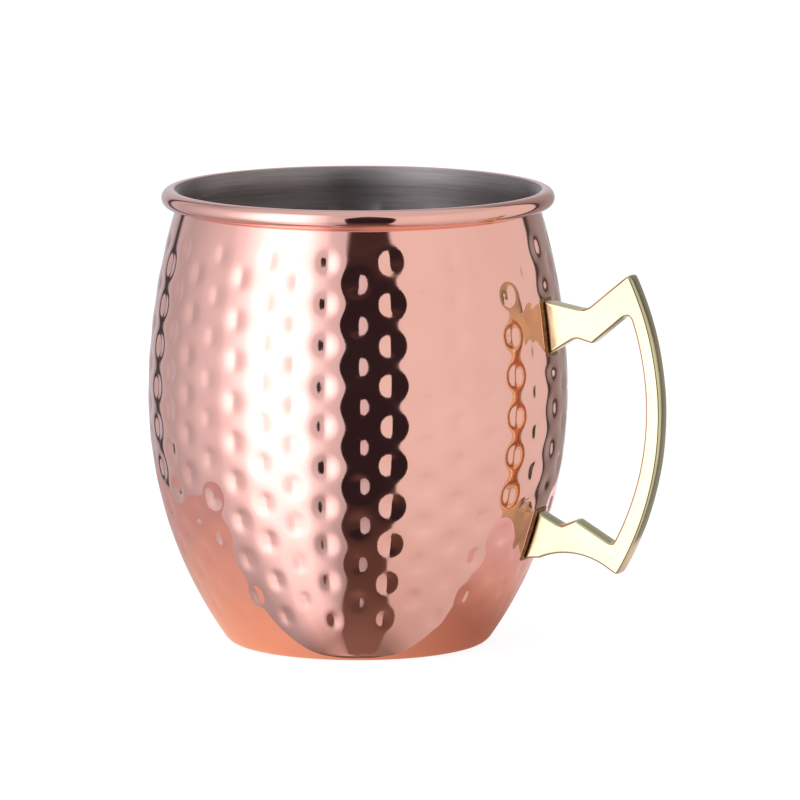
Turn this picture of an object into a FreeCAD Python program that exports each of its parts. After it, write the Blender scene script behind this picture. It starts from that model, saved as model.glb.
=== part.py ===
"""Copper mug: a hammered copper shell over a brushed steel lining, with a cast brass handle.

The frame has its origin on the mug's axis, at the underside of the base. +Z is up and the
handle points along +X. All sizes are millimetres.
"""

import FreeCAD, Part
import math
import os

from FreeCAD import Vector

# ---- barrel: two arcs that meet at the belly, and a corner arc down to the flat base
BELLY_RADIUS = 45.5
BELLY_HEIGHT = 54.0
LOWER_ARC_RADIUS = 92.0
UPPER_ARC_RADIUS = 140.0
CORNER_RADIUS = 3.3

# ---- sheet thicknesses
COPPER_THICKNESS = 0.5
LINING_THICKNESS = 0.45
WALL_THICKNESS = COPPER_THICKNESS + LINING_THICKNESS

# ---- rim: the sheet flares out and curls into a hollow bead
BEAD_RING_RADIUS = 40.55
BEAD_RADIUS = 2.0
BEAD_HEIGHT = 97.0
BEAD_BORE_RADIUS = 1.15
FLARE_RADIUS = 4.5
LINING_LIP_ANGLE = 112.0
CURL_SLIT_ANGLE = 240.0
CURL_SLIT_WIDTH = 0.2
CURL_SLIT_START = 0.6
CURL_SLIT_END = 2.4

# ---- handle: a flat casting in the XZ plane
HANDLE_THICKNESS = 4.6
HANDLE_EDGE_RADIUS = 0.5
BRAZE_THICKNESS = 0.3
BRAZE_FILLET = 0.35

# corners of the handle's outline as (x, z, corner radius), from the upper foot round to the lower one
UPPER_FOOT_TOP = (40.0, 77.46, 0.0)
UPPER_VALLEY = (53.3, 75.1, 4.0)
UPPER_TIP = (63.5, 83.6, 1.0)
OUTER_BOW = (70.75, 54.0)
LOWER_TIP = (61.0, 18.0, 1.0)
LOWER_ARM_START = (58.5, 19.6, 0.0)
LOWER_ARM_CREST = (49.7, 22.2)
LOWER_ARM_END = (43.0, 20.8, 0.0)
LOWER_FOOT_BOTTOM = (35.0, 20.2, 0.0)
LOWER_FOOT_TOP = (38.0, 33.4, 0.0)
LOWER_VALLEY = (47.9, 28.2, 0.8)
LOWER_TOOTH = (51.4, 29.7, 0.8)
LOWER_INNER_CORNER = (59.8, 24.8, 0.8)
INNER_BOW = (67.3, 54.0)
UPPER_INNER_CORNER = (63.45, 75.05, 1.2)
UPPER_TOOTH = (55.1, 68.0, 0.7)
UPPER_NOTCH = (51.2, 69.0, 1.5)
UPPER_FOOT_BOTTOM = (42.0, 63.14, 0.0)

# the height that parts the upper foot from the lower one, the reach of the block that takes one foot,
# and the outset of the barrel that still meets both feet
FOOT_SPLIT_HEIGHT = 50.0
FOOT_REACH = 48.0
FOOT_OUTSET = 0.6

# how near an edge must lie to a corner, and to a flat face, to count as part of it
CORNER_TOLERANCE = 0.01
FACE_TOLERANCE = 0.001

LOWER_CENTRE = (BELLY_RADIUS - LOWER_ARC_RADIUS, BELLY_HEIGHT)
UPPER_CENTRE = (BELLY_RADIUS - UPPER_ARC_RADIUS, BELLY_HEIGHT)
BEAD_CENTRE = (BEAD_RING_RADIUS, BEAD_HEIGHT)
AXIS = Vector(0, 0, 1)


def in_plane(point):
    """A (radius or x, height) pair as a point of the XZ plane."""
    return Vector(point[0], 0, point[1])


def on_circle(centre, radius, angle):
    """The point of a circle at an angle in degrees, counted from +X towards +Z."""
    turn = math.radians(angle)
    return (centre[0] + radius * math.cos(turn), centre[1] + radius * math.sin(turn))


def heading(start, end):
    """The angle in degrees of the way from one point to another."""
    return math.degrees(math.atan2(end[1] - start[1], end[0] - start[0]))


def line(start, end):
    """A straight edge between two points of the XZ plane."""
    return Part.LineSegment(in_plane(start), in_plane(end)).toShape()


def arc(centre, radius, start_angle, end_angle):
    """A circular edge about a centre, from one angle to the other in either sense."""
    middle_angle = (start_angle + end_angle) / 2
    points = [on_circle(centre, radius, a) for a in (start_angle, middle_angle, end_angle)]
    return Part.Arc(*[in_plane(p) for p in points]).toShape()


def revolved(edges):
    """The solid that a closed outline of edges makes when it turns about the mug's axis."""
    face = Part.Face(Part.Wire(Part.__sortEdges__(edges)))
    return face.revolve(Vector(0, 0, 0), AXIS, 360)


def circle_meeting(centre_a, radius_a, centre_b, radius_b):
    """Where two circles cross, on the right-hand side of the way from centre a to centre b."""
    across = math.dist(centre_a, centre_b)
    along = (across ** 2 + radius_a ** 2 - radius_b ** 2) / (2 * across)
    offset = math.sqrt(radius_a ** 2 - along ** 2)
    turn = math.radians(heading(centre_a, centre_b))
    x = centre_a[0] + along * math.cos(turn) + offset * math.sin(turn)
    z = centre_a[1] + along * math.sin(turn) - offset * math.cos(turn)
    return (x, z)


def corner_centre():
    """Centre of the corner arc, which touches the base plane and the lower barrel arc."""
    reach = LOWER_ARC_RADIUS - CORNER_RADIUS
    drop = BELLY_HEIGHT - CORNER_RADIUS
    return (LOWER_CENTRE[0] + math.sqrt(reach ** 2 - drop ** 2), CORNER_RADIUS)


def flare_centre():
    """Centre of the flare, which touches the barrel's inner arc outside and the bead inside."""
    barrel_reach = UPPER_ARC_RADIUS - WALL_THICKNESS + FLARE_RADIUS
    bead_reach = FLARE_RADIUS - BEAD_RADIUS
    return circle_meeting(UPPER_CENTRE, barrel_reach, BEAD_CENTRE, bead_reach)


def barrel_edges(inset):
    """Base, corner and lower arc of the barrel, moved in from its outer face by an inset."""
    corner = corner_centre()
    down = heading(LOWER_CENTRE, corner)
    return [
        line((0, inset), (corner[0], inset)),
        arc(corner, CORNER_RADIUS - inset, -90, down),
        arc(LOWER_CENTRE, LOWER_ARC_RADIUS - inset, down, 0),
    ]


def bore_edges(inset):
    """A face of the lining, from the axis along base and barrel and up to its lip on the bead."""
    flare = flare_centre()
    depth = WALL_THICKNESS - inset
    barrel_turn = heading(UPPER_CENTRE, flare)
    bead_turn = heading(flare, BEAD_CENTRE)
    return barrel_edges(inset) + [
        arc(UPPER_CENTRE, UPPER_ARC_RADIUS - inset, 0, barrel_turn),
        arc(flare, FLARE_RADIUS - depth, barrel_turn + 180, bead_turn),
        arc(BEAD_CENTRE, BEAD_RADIUS - depth, bead_turn, LINING_LIP_ANGLE),
    ]


def copper_shell():
    """The outer copper wall, with its base, and the hollow bead curled out of its top."""
    crease = circle_meeting(UPPER_CENTRE, UPPER_ARC_RADIUS, BEAD_CENTRE, BEAD_RADIUS)
    crease_turn = heading(BEAD_CENTRE, crease)
    lip_outside = on_circle(BEAD_CENTRE, BEAD_RADIUS, LINING_LIP_ANGLE)
    lip_inside = on_circle(BEAD_CENTRE, BEAD_RADIUS - LINING_THICKNESS, LINING_LIP_ANGLE)
    edges = barrel_edges(0) + [
        arc(UPPER_CENTRE, UPPER_ARC_RADIUS, 0, heading(UPPER_CENTRE, crease)),
        arc(BEAD_CENTRE, BEAD_RADIUS, crease_turn, LINING_LIP_ANGLE),
        line(lip_outside, lip_inside),
    ]
    edges += bore_edges(COPPER_THICKNESS)
    edges.append(line((0, 0), (0, COPPER_THICKNESS)))
    bore = Part.makeTorus(BEAD_RING_RADIUS, BEAD_BORE_RADIUS, in_plane((0, BEAD_HEIGHT)), AXIS)
    return revolved(edges).cut(bore).cut(curl_slit())


def curl_slit():
    """The thin gap that the curled edge leaves under the bead, from its bore to the outside."""
    near = on_circle(BEAD_CENTRE, CURL_SLIT_START, CURL_SLIT_ANGLE)
    far = on_circle(BEAD_CENTRE, CURL_SLIT_END, CURL_SLIT_ANGLE)
    side = on_circle((0, 0), CURL_SLIT_WIDTH / 2, CURL_SLIT_ANGLE + 90)
    corners = [
        (near[0] + side[0], near[1] + side[1]),
        (far[0] + side[0], far[1] + side[1]),
        (far[0] - side[0], far[1] - side[1]),
        (near[0] - side[0], near[1] - side[1]),
    ]
    return revolved([line(corners[i - 1], corners[i]) for i in range(4)])


def steel_lining():
    """The inner steel shell, which fits the copper one and laps over the inside of the bead."""
    lip_outside = on_circle(BEAD_CENTRE, BEAD_RADIUS, LINING_LIP_ANGLE)
    lip_inside = on_circle(BEAD_CENTRE, BEAD_RADIUS - LINING_THICKNESS, LINING_LIP_ANGLE)
    edges = bore_edges(COPPER_THICKNESS) + bore_edges(WALL_THICKNESS)
    edges.append(line(lip_outside, lip_inside))
    edges.append(line((0, COPPER_THICKNESS), (0, WALL_THICKNESS)))
    return revolved(edges)


def barrel_block(outset):
    """A solid barrel that is larger than the shell by an outset, to shape the handle's feet."""
    edges = barrel_edges(-outset)
    top_turn = heading(UPPER_CENTRE, BEAD_CENTRE)
    top = on_circle(UPPER_CENTRE, UPPER_ARC_RADIUS + outset, top_turn)
    edges.append(arc(UPPER_CENTRE, UPPER_ARC_RADIUS + outset, 0, top_turn))
    edges.append(line(top, (0, top[1])))
    edges.append(line((0, top[1]), (0, -outset)))
    return revolved(edges)


def handle_outline():
    """The handle's outline as edges with sharp corners, its feet run on into the wall.

    A stretch of two points is a straight edge, a stretch of three points is an arc through them.
    """
    stretches = [
        (UPPER_FOOT_TOP, UPPER_VALLEY),
        (UPPER_VALLEY, UPPER_TIP),
        (UPPER_TIP, OUTER_BOW, LOWER_TIP),
        (LOWER_TIP, LOWER_ARM_START),
        (LOWER_ARM_START, LOWER_ARM_CREST, LOWER_ARM_END),
        (LOWER_ARM_END, LOWER_FOOT_BOTTOM),
        (LOWER_FOOT_BOTTOM, LOWER_FOOT_TOP),
        (LOWER_FOOT_TOP, LOWER_VALLEY),
        (LOWER_VALLEY, LOWER_TOOTH),
        (LOWER_TOOTH, LOWER_INNER_CORNER),
        (LOWER_INNER_CORNER, INNER_BOW, UPPER_INNER_CORNER),
        (UPPER_INNER_CORNER, UPPER_TOOTH),
        (UPPER_TOOTH, UPPER_NOTCH),
        (UPPER_NOTCH, UPPER_FOOT_BOTTOM),
        (UPPER_FOOT_BOTTOM, UPPER_FOOT_TOP),
    ]
    edges = []
    for stretch in stretches:
        points = [in_plane(p) for p in stretch]
        if len(points) == 3:
            edges.append(Part.Arc(*points).toShape())
        else:
            edges.append(Part.LineSegment(*points).toShape())
    return edges


def corner_edges(solid, corner):
    """The edges of a flat plate that stand across it at one corner of its outline."""
    found = []
    for edge in solid.Edges:
        ends = [v.Point for v in edge.Vertexes]
        if all(math.hypot(p.x - corner[0], p.z - corner[1]) < CORNER_TOLERANCE for p in ends):
            found.append(edge)
    return found


def handle_plate():
    """The whole handle as a flat plate with rounded corners and edges, its feet not yet fitted."""
    face = Part.Face(Part.Wire(handle_outline()))
    plate = face.extrude(Vector(0, HANDLE_THICKNESS, 0))
    plate.translate(Vector(0, -HANDLE_THICKNESS / 2, 0))
    rounded = [UPPER_VALLEY, UPPER_TIP, LOWER_TIP, LOWER_VALLEY, LOWER_TOOTH]
    rounded += [LOWER_INNER_CORNER, UPPER_INNER_CORNER, UPPER_TOOTH, UPPER_NOTCH]
    for corner in rounded:
        plate = plate.makeFillet(corner[2], corner_edges(plate, corner))
    rim = [e for e in plate.Edges if lies_on_face(e)]
    return plate.makeFillet(HANDLE_EDGE_RADIUS, rim)


def lies_on_face(edge):
    """Whether an edge runs along one of the handle's two flat faces."""
    box = edge.BoundBox
    flat = box.YLength < FACE_TOLERANCE
    return flat and abs(abs(box.YMin) - HANDLE_THICKNESS / 2) < FACE_TOLERANCE


def handle():
    """The cast brass handle, its two feet shaped to stand off the wall by the brazed joint."""
    return handle_plate().cut(barrel_block(BRAZE_THICKNESS))


def braze_joint(low):
    """The filler under the foot that stands above a height, run out past the foot as a small fillet."""
    half = Part.makeBox(FOOT_REACH, FOOT_REACH, FOOT_SPLIT_HEIGHT, Vector(0, -FOOT_REACH / 2, low))
    buried = handle_plate().common(barrel_block(FOOT_OUTSET)).common(half)
    foot = buried.cut(barrel_block(0)).BoundBox
    pad = Part.makeBox(
        FOOT_REACH,
        foot.YLength + 2 * BRAZE_FILLET,
        foot.ZLength + 2 * BRAZE_FILLET,
        Vector(0, foot.YMin - BRAZE_FILLET, foot.ZMin - BRAZE_FILLET),
    )
    return barrel_block(BRAZE_THICKNESS).cut(barrel_block(0)).common(pad)


def upper_braze_joint():
    """The brazed joint under the upper foot."""
    return braze_joint(FOOT_SPLIT_HEIGHT)


def lower_braze_joint():
    """The brazed joint under the lower foot."""
    return braze_joint(0)


def main():
    """Build every piece and write it to its own file."""
    os.makedirs("parts", exist_ok=True)
    for piece in (copper_shell, steel_lining, handle, upper_braze_joint, lower_braze_joint):
        shape = piece()
        shape.exportStep("parts/%s.step" % piece.__name__)
        box = shape.BoundBox
        print(
            "%-18s solids %d valid %s volume %.0f mm3 x %.1f..%.1f y %.1f..%.1f z %.1f..%.1f"
            % (piece.__name__, len(shape.Solids), shape.isValid(), shape.Volume,
               box.XMin, box.XMax, box.YMin, box.YMax, box.ZMin, box.ZMax)
        )


main()
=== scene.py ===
"""Copper mug, finished: a hammered copper shell, a brushed steel lining and a cast brass handle.

The mug stands on its base with its axis on Z and its handle along +X. Sizes inside the classes
are millimetres, as a maker would write them, and every mesh is turned into metres at the end.
"""

import logging
import math
from dataclasses import dataclass, field
from enum import Enum
from typing import Callable, Sequence

import bpy
import numpy as np
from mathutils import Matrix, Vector, geometry, noise


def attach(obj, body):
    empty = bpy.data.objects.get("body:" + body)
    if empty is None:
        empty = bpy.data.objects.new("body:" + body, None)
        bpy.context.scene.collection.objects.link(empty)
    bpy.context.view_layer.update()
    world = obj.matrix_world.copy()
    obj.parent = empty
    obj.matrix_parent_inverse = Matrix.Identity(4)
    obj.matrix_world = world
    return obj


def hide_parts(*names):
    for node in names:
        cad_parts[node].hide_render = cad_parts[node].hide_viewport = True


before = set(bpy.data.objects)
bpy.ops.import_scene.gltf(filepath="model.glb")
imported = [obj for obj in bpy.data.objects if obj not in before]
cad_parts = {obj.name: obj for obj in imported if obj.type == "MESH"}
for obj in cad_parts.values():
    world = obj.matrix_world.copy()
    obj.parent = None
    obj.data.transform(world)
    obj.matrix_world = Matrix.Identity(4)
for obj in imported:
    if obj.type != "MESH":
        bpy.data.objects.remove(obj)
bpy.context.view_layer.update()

LOG = logging.getLogger("copper_mug")
MM = 0.001
ROOT = "root"

Pair = tuple[float, float]
Triple = tuple[float, float, float]
Stops = tuple[tuple[float, Triple], ...]
Socket = bpy.types.NodeSocket
Thing = bpy.types.Object
Material = bpy.types.Material

TINY = 1e-6  # millimetres, below which two points are one
SHARP_SHEET = 50  # degrees of turn above which an edge of the sheets stays sharp
SHARP_CASTING = 60  # the same for the handle
STAGGERED_ROWS = 0.87  # height of a staggered row over the distance between its points
NOISE_LOW, NOISE_HIGH = 0.3, 0.7  # the values between which noise mostly lies
FIRST_REFLECTION = 1.5  # parts the reflection depth of the first one from that of later ones
WHITE = (1.0, 1.0, 1.0)


class Slot(Enum):
    """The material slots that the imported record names."""

    COPPER = "polished_copper"
    STEEL = "brushed_steel"
    BRASS = "polished_brass"
    BRAZE = "braze"


# ---------------------------------------------------------------- profiles in the (radius, height) plane


def on_circle(centre: Pair, radius: float, angle: float) -> Pair:
    """The point of a circle at an angle in degrees, counted from outwards towards upwards."""
    turn = math.radians(angle)
    return centre[0] + radius * math.cos(turn), centre[1] + radius * math.sin(turn)


def heading(start: Pair, end: Pair) -> float:
    """The angle in degrees of the way from one point to another."""
    return math.degrees(math.atan2(end[1] - start[1], end[0] - start[0]))


def lower_crossing(centre_a: Pair, radius_a: float, centre_b: Pair, radius_b: float) -> Pair:
    """The point where two circles cross, on the right-hand side of the way from a to b.

    Args:
        centre_a: Centre of the first circle.
        radius_a: Radius of the first circle.
        centre_b: Centre of the second circle.
        radius_b: Radius of the second circle.

    Returns:
        The crossing point.
    """
    across = math.dist(centre_a, centre_b)
    along = (across**2 + radius_a**2 - radius_b**2) / (2 * across)
    aside = math.sqrt(radius_a**2 - along**2)
    turn = math.radians(heading(centre_a, centre_b))
    return (
        centre_a[0] + along * math.cos(turn) + aside * math.sin(turn),
        centre_a[1] + along * math.sin(turn) - aside * math.cos(turn),
    )


@dataclass
class Profile:
    """Rows of a turned part: radius, height, the wall's outward direction and how much it is hammered."""

    rows: list[tuple[float, float, float, float, float]] = field(default_factory=list)

    def add(self, point: Pair, out: Pair = (0.0, 0.0), hammered: float = 0.0) -> None:
        """Add one row, unless it repeats the last one."""
        if self.rows and math.dist(self.rows[-1][:2], point) < TINY:
            return
        self.rows.append((*point, *out, hammered))

    def arc(self, centre: Pair, radius: float, start: float, end: float, step: float,
            hammered: float = 0.0) -> None:
        """Add rows along an arc.

        Args:
            centre: The arc's centre.
            radius: The arc's radius.
            start: Angle of the first row, in degrees.
            end: Angle of the last row, in degrees.
            step: Longest distance between rows, in millimetres.
            hammered: How much of the hammering these rows take.
        """
        count = max(2, math.ceil(radius * math.radians(abs(end - start)) / step))
        for k in range(count + 1):
            angle = start + (end - start) * k / count
            self.add(on_circle(centre, radius, angle), on_circle((0, 0), 1.0, angle), hammered)

    def array(self) -> np.ndarray:
        """The rows as an array of shape (rows, 5)."""
        return np.array(self.rows, float)


@dataclass(frozen=True)
class BarrelShape:
    """The barrel of the mug: two arcs that meet at the belly, and a corner down to the flat base."""

    belly_radius: float = 45.5
    belly_height: float = 54.0
    lower_arc: float = 92.0
    upper_arc: float = 140.0
    corner: float = 3.3
    copper: float = 0.5
    wall: float = 0.95
    bead_ring: float = 40.55
    bead_radius: float = 2.0
    bead_height: float = 97.0
    flare: float = 4.5
    lip_angle: float = 112.0
    base_rows: tuple[float, ...] = (0.15, 0.4, 0.7, 1.0)
    corner_step: float = 0.5

    @property
    def lower_centre(self) -> Pair:
        """Centre of the lower arc."""
        return self.belly_radius - self.lower_arc, self.belly_height

    @property
    def upper_centre(self) -> Pair:
        """Centre of the upper arc."""
        return self.belly_radius - self.upper_arc, self.belly_height

    @property
    def bead_centre(self) -> Pair:
        """Centre of the rim bead's section."""
        return self.bead_ring, self.bead_height

    @property
    def corner_centre(self) -> Pair:
        """Centre of the corner arc, which touches the base plane and the lower arc."""
        reach = self.lower_arc - self.corner
        drop = self.belly_height - self.corner
        return self.lower_centre[0] + math.sqrt(reach**2 - drop**2), self.corner

    @property
    def corner_turn(self) -> float:
        """Angle at which the corner arc passes into the lower arc."""
        return heading(self.lower_centre, self.corner_centre)

    @property
    def flare_centre(self) -> Pair:
        """Centre of the flare, by which the inner face runs out onto the bead."""
        reach = self.upper_arc - self.wall + self.flare
        return lower_crossing(self.upper_centre, reach, self.bead_centre, self.flare - self.bead_radius)

    @property
    def crease(self) -> Pair:
        """Where the outer face meets the underside of the bead."""
        return lower_crossing(self.upper_centre, self.upper_arc, self.bead_centre, self.bead_radius)

    def radius(self, height: float, outset: float = 0.0) -> float:
        """Radius of the barrel at a height, moved out by an outset."""
        centre, arc = (
            (self.lower_centre, self.lower_arc)
            if height < self.belly_height
            else (self.upper_centre, self.upper_arc)
        )
        return centre[0] + math.sqrt((arc + outset) ** 2 - (height - centre[1]) ** 2)

    def clearance(self, x: float, z: float) -> float:
        """Distance of a point outside the barrel's outer face, negative inside it."""
        if z < self.belly_height:
            return math.dist((x, z), self.lower_centre) - self.lower_arc
        return math.dist((x, z), self.upper_centre) - self.upper_arc

    def rise(self, profile: Profile, inset: float, step: float, hammered: float = 0.0) -> None:
        """Add a face of the barrel, from the axis along the base and up to the belly and the neck.

        Args:
            profile: The profile that takes the rows.
            inset: Distance of the face inside the barrel's outer face.
            step: Longest distance between the rows of the two barrel arcs.
            hammered: How much of the hammering the face takes.
        """
        base = self.corner_centre[0]
        for share in self.base_rows:
            profile.add((base * share, inset), (0.0, -1.0))
        corner_step = max(step, self.corner_step)
        profile.arc(self.corner_centre, self.corner - inset, -90, self.corner_turn, corner_step)
        profile.arc(self.lower_centre, self.lower_arc - inset, self.corner_turn, 0, step, hammered)

    def neck(self, profile: Profile, inset: float, step: float, hammered: float, top: float) -> None:
        """Add the upper arc of a face, from the belly up to a heading in degrees."""
        profile.arc(self.upper_centre, self.upper_arc - inset, 0, top, step, hammered)

    def bore_top(self, profile: Profile, inset: float, step: float) -> None:
        """Add the flare and the inner side of the bead, up to the lining's lip.

        Args:
            profile: The profile that takes the rows.
            inset: Distance of the face inside the barrel's outer face.
            step: Longest distance between the rows.
        """
        flare = self.flare_centre
        turn = heading(flare, self.bead_centre)
        depth = self.wall - inset
        start = heading(self.upper_centre, flare) + 180
        profile.arc(flare, self.flare - depth, start, turn, step)
        profile.arc(self.bead_centre, self.bead_radius - depth, turn, self.lip_angle, step)

    def face(self, profile: Profile, inset: float, step: float, top_step: float,
             hammered: float = 0.0) -> None:
        """Add a whole face, from the axis along the base, up the wall and round the bead to the lip.

        Args:
            profile: The profile that takes the rows.
            inset: Distance of the face inside the barrel's outer face.
            step: Longest distance between the rows of the two barrel arcs.
            top_step: Longest distance between the rows of the flare and the bead.
            hammered: How much of the hammering the face takes.
        """
        self.rise(profile, inset, step, hammered)
        self.neck(profile, inset, step, hammered, heading(self.upper_centre, self.flare_centre))
        self.bore_top(profile, inset, top_step)


# ---------------------------------------------------------------- hammering


@dataclass(frozen=True)
class Hammering:
    """The pattern of pointed hammer marks: upright columns, each staggered half a row to the next.

    The columns are a little closer on one side of the mug than on the other. Each mark is a shallow
    cone that ends in a short upright crease and dies out softly at its edge.
    """

    shape: BarrelShape
    columns: int = 40
    first_column: float = -67.1
    row_height: float = 8.65
    top_row: float = 88.0
    rows: int = 11
    slope: float = 8.0
    cone: float = 2.9
    rim: float = 0.48
    crease: float = 1.0
    crease_fade: tuple[float, float] = (0.9, 2.9)
    tip: float = 0.15
    drift: float = 0.22
    waviness: float = 0.012
    fade_from: float = 32.0
    neck_from: float = 66.0
    neck_loss: float = 0.1
    seed: int = 11
    spacing_sway: float = 2.75
    sway_from: float = 9.0
    sway_soft: float = 0.14
    foot_half_width: float = 2.9
    foot_fade: float = 1.6
    feet: tuple[Pair, ...] = ((20.0, 34.5), (63.0, 77.5))
    sway_passes: int = 6
    size_drift: float = 0.06
    spread_power: float = 0.8
    lowest: float = 6.0
    lowest_share: float = 0.3
    wave_count: int = 10
    wave_turns: tuple[int, int] = (3, 17)
    wave_climb: float = 0.35
    wave_level: float = 3.0
    mesh_shares: tuple[float, ...] = (-0.42, -0.32, -0.19, -0.07, 0.0, 0.07, 0.19, 0.32, 0.42, 0.5)

    @property
    def pitch(self) -> float:
        """Angle between two columns, in radians."""
        return 2 * math.pi / self.columns

    @property
    def start(self) -> float:
        """Angle of the first column, in radians."""
        return math.radians(self.first_column)

    def sway(self, even: np.ndarray) -> np.ndarray:
        """How far the columns stray from even spacing at evenly counted angles, in radians."""
        bend = np.sin(even - math.radians(self.sway_from))
        opened = np.hypot(bend, self.sway_soft) - self.sway_soft
        return math.radians(self.spacing_sway) * (bend + opened)

    def even(self, angle: np.ndarray) -> np.ndarray:
        """The evenly counted angle, from the first column, of an angle round the axis.

        Args:
            angle: Angles round the axis, in radians.

        Returns:
            The evenly counted angles, in radians.
        """
        target = angle - self.start
        even = target
        for _ in range(self.sway_passes):
            even = target - self.sway(even)
        return even

    def mark(self, distance: np.ndarray) -> np.ndarray:
        """Depth of one mark at a distance from its crease, in millimetres."""
        near = np.sqrt(distance**2 + self.tip**2) - self.tip
        steep = math.tan(math.radians(self.slope))
        return steep * self.rim * np.logaddexp(0, (self.cone - near) / self.rim)

    def depth(self, angle: np.ndarray, height: np.ndarray, radius: np.ndarray) -> np.ndarray:
        """How far the sheet is driven in.

        Args:
            angle: Angles round the axis, in radians.
            height: Heights above the base, in millimetres.
            radius: Radii of the barrel there, in millimetres.

        Returns:
            The depth at each place, in millimetres.
        """
        draws = np.random.default_rng(self.seed)
        drift = draws.uniform(-1, 1, (self.columns, self.rows, 3))
        even = self.even(angle)
        nearest = np.round(even / self.pitch).astype(int)
        low, high = self.crease_fade
        total = np.zeros(np.broadcast(angle, height).shape)
        for side in (-1, 0, 1):
            column = nearest + side
            stagger = np.where(column % 2 == 1, 0.0, 0.5)
            level = np.round((self.top_row - height) / self.row_height - stagger).astype(int)
            for step in (-1, 0, 1):
                row = level + step
                known = (row >= 0) & (row < self.rows)
                shift = drift[column % self.columns, np.clip(row, 0, self.rows - 1)]
                at = self.top_row - (row + stagger) * self.row_height
                scale = self.fading(at)
                across = (even - column * self.pitch) * radius - shift[..., 0] * self.drift
                along = height - at - shift[..., 1] * self.drift
                spread = (radius / self.shape.belly_radius) ** self.spread_power
                out = np.clip((np.hypot(across, along) - low) / (high - low), 0, 1)
                crease = self.crease * scale * (1 - out * out * (3 - 2 * out))
                far = np.hypot(across / spread, np.clip(np.abs(along) - crease, 0, None))
                size = scale * (1 + self.size_drift * shift[..., 2])
                total += np.where(known, size * self.mark(far / np.sqrt(size)), 0)
        return total * self.clear_of_feet(angle, height, radius) + self.unevenness(angle, height)

    def fading(self, height: np.ndarray) -> np.ndarray:
        """Share of full depth that a mark has: lighter near the base and a little so at the neck.

        Args:
            height: Heights of marks above the base, in millimetres.

        Returns:
            The shares, from 0 to 1.
        """
        share = np.clip(height / self.fade_from, 0, 1)
        neck = np.clip((height - self.neck_from) / (self.top_row - self.neck_from), 0, 1)
        low = self.lowest_share + (1 - self.lowest_share) * share
        return np.where(height > self.lowest, low * (1 - self.neck_loss * neck), 0)

    def unevenness(self, angle: np.ndarray, height: np.ndarray) -> np.ndarray:
        """The sheet's slight waviness between the marks, in millimetres.

        Args:
            angle: Angles round the axis, in radians.
            height: Heights above the base, in millimetres.

        Returns:
            The waviness at each place.
        """
        draws = np.random.default_rng(self.seed + 1)
        total = 0.0
        for _ in range(self.wave_count):
            turns = draws.integers(*self.wave_turns)
            climb = draws.uniform(-self.wave_climb, self.wave_climb)
            phase = draws.uniform(0, 2 * math.pi)
            total = total + np.sin(turns * angle + climb * height + phase)
        return total * self.waviness / self.wave_level

    def clear_of_feet(self, angle: np.ndarray, height: np.ndarray, radius: np.ndarray) -> np.ndarray:
        """1 on the open wall, and 0 where a foot of the handle is brazed on and the wall is left smooth.

        Args:
            angle: Angles round the axis, in radians.
            height: Heights above the base, in millimetres.
            radius: Radii of the barrel there, in millimetres.

        Returns:
            The share of hammering at each place.
        """
        turned = (angle + math.pi) % (2 * math.pi) - math.pi
        aside = np.clip((np.abs(turned * radius) - self.foot_half_width) / self.foot_fade, 0, 1)
        clear = np.ones(np.broadcast(angle, height).shape)
        for low, high in self.feet:
            beyond = np.maximum(low - height, height - high)
            off = np.clip(beyond / self.foot_fade, 0, 1)
            away = np.clip(np.hypot(aside, off), 0, 1)
            clear = np.minimum(clear, away * away * (3 - 2 * away))
        return clear

    def angles(self) -> np.ndarray:
        """Angles of the mesh columns, closer together along each column of marks."""
        shares = np.array(self.mesh_shares)
        steps = (np.arange(self.columns)[:, None] + shares[None, :]).ravel() * self.pitch
        return self.start + steps + self.sway(steps)


# ---------------------------------------------------------------- mesh helpers


def mesh_object(name: str, points: np.ndarray, faces: Sequence[Sequence[int]],
                sharp: float) -> Thing:
    """Make a smooth-shaded mesh object from points in millimetres.

    Args:
        name: Name of the piece.
        points: Array of shape (points, 3), in millimetres.
        faces: Corner numbers of each face.
        sharp: Edges that turn more than this many degrees stay sharp.

    Returns:
        The new object, linked to the scene.
    """
    mesh = bpy.data.meshes.new(name)
    mesh.from_pydata((points * MM).tolist(), [], [list(f) for f in faces])
    mesh.validate()
    mesh.shade_smooth()
    mesh.set_sharp_from_angle(angle=math.radians(sharp))
    made = bpy.data.objects.new(name, mesh)
    bpy.context.scene.collection.objects.link(made)
    return made


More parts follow.
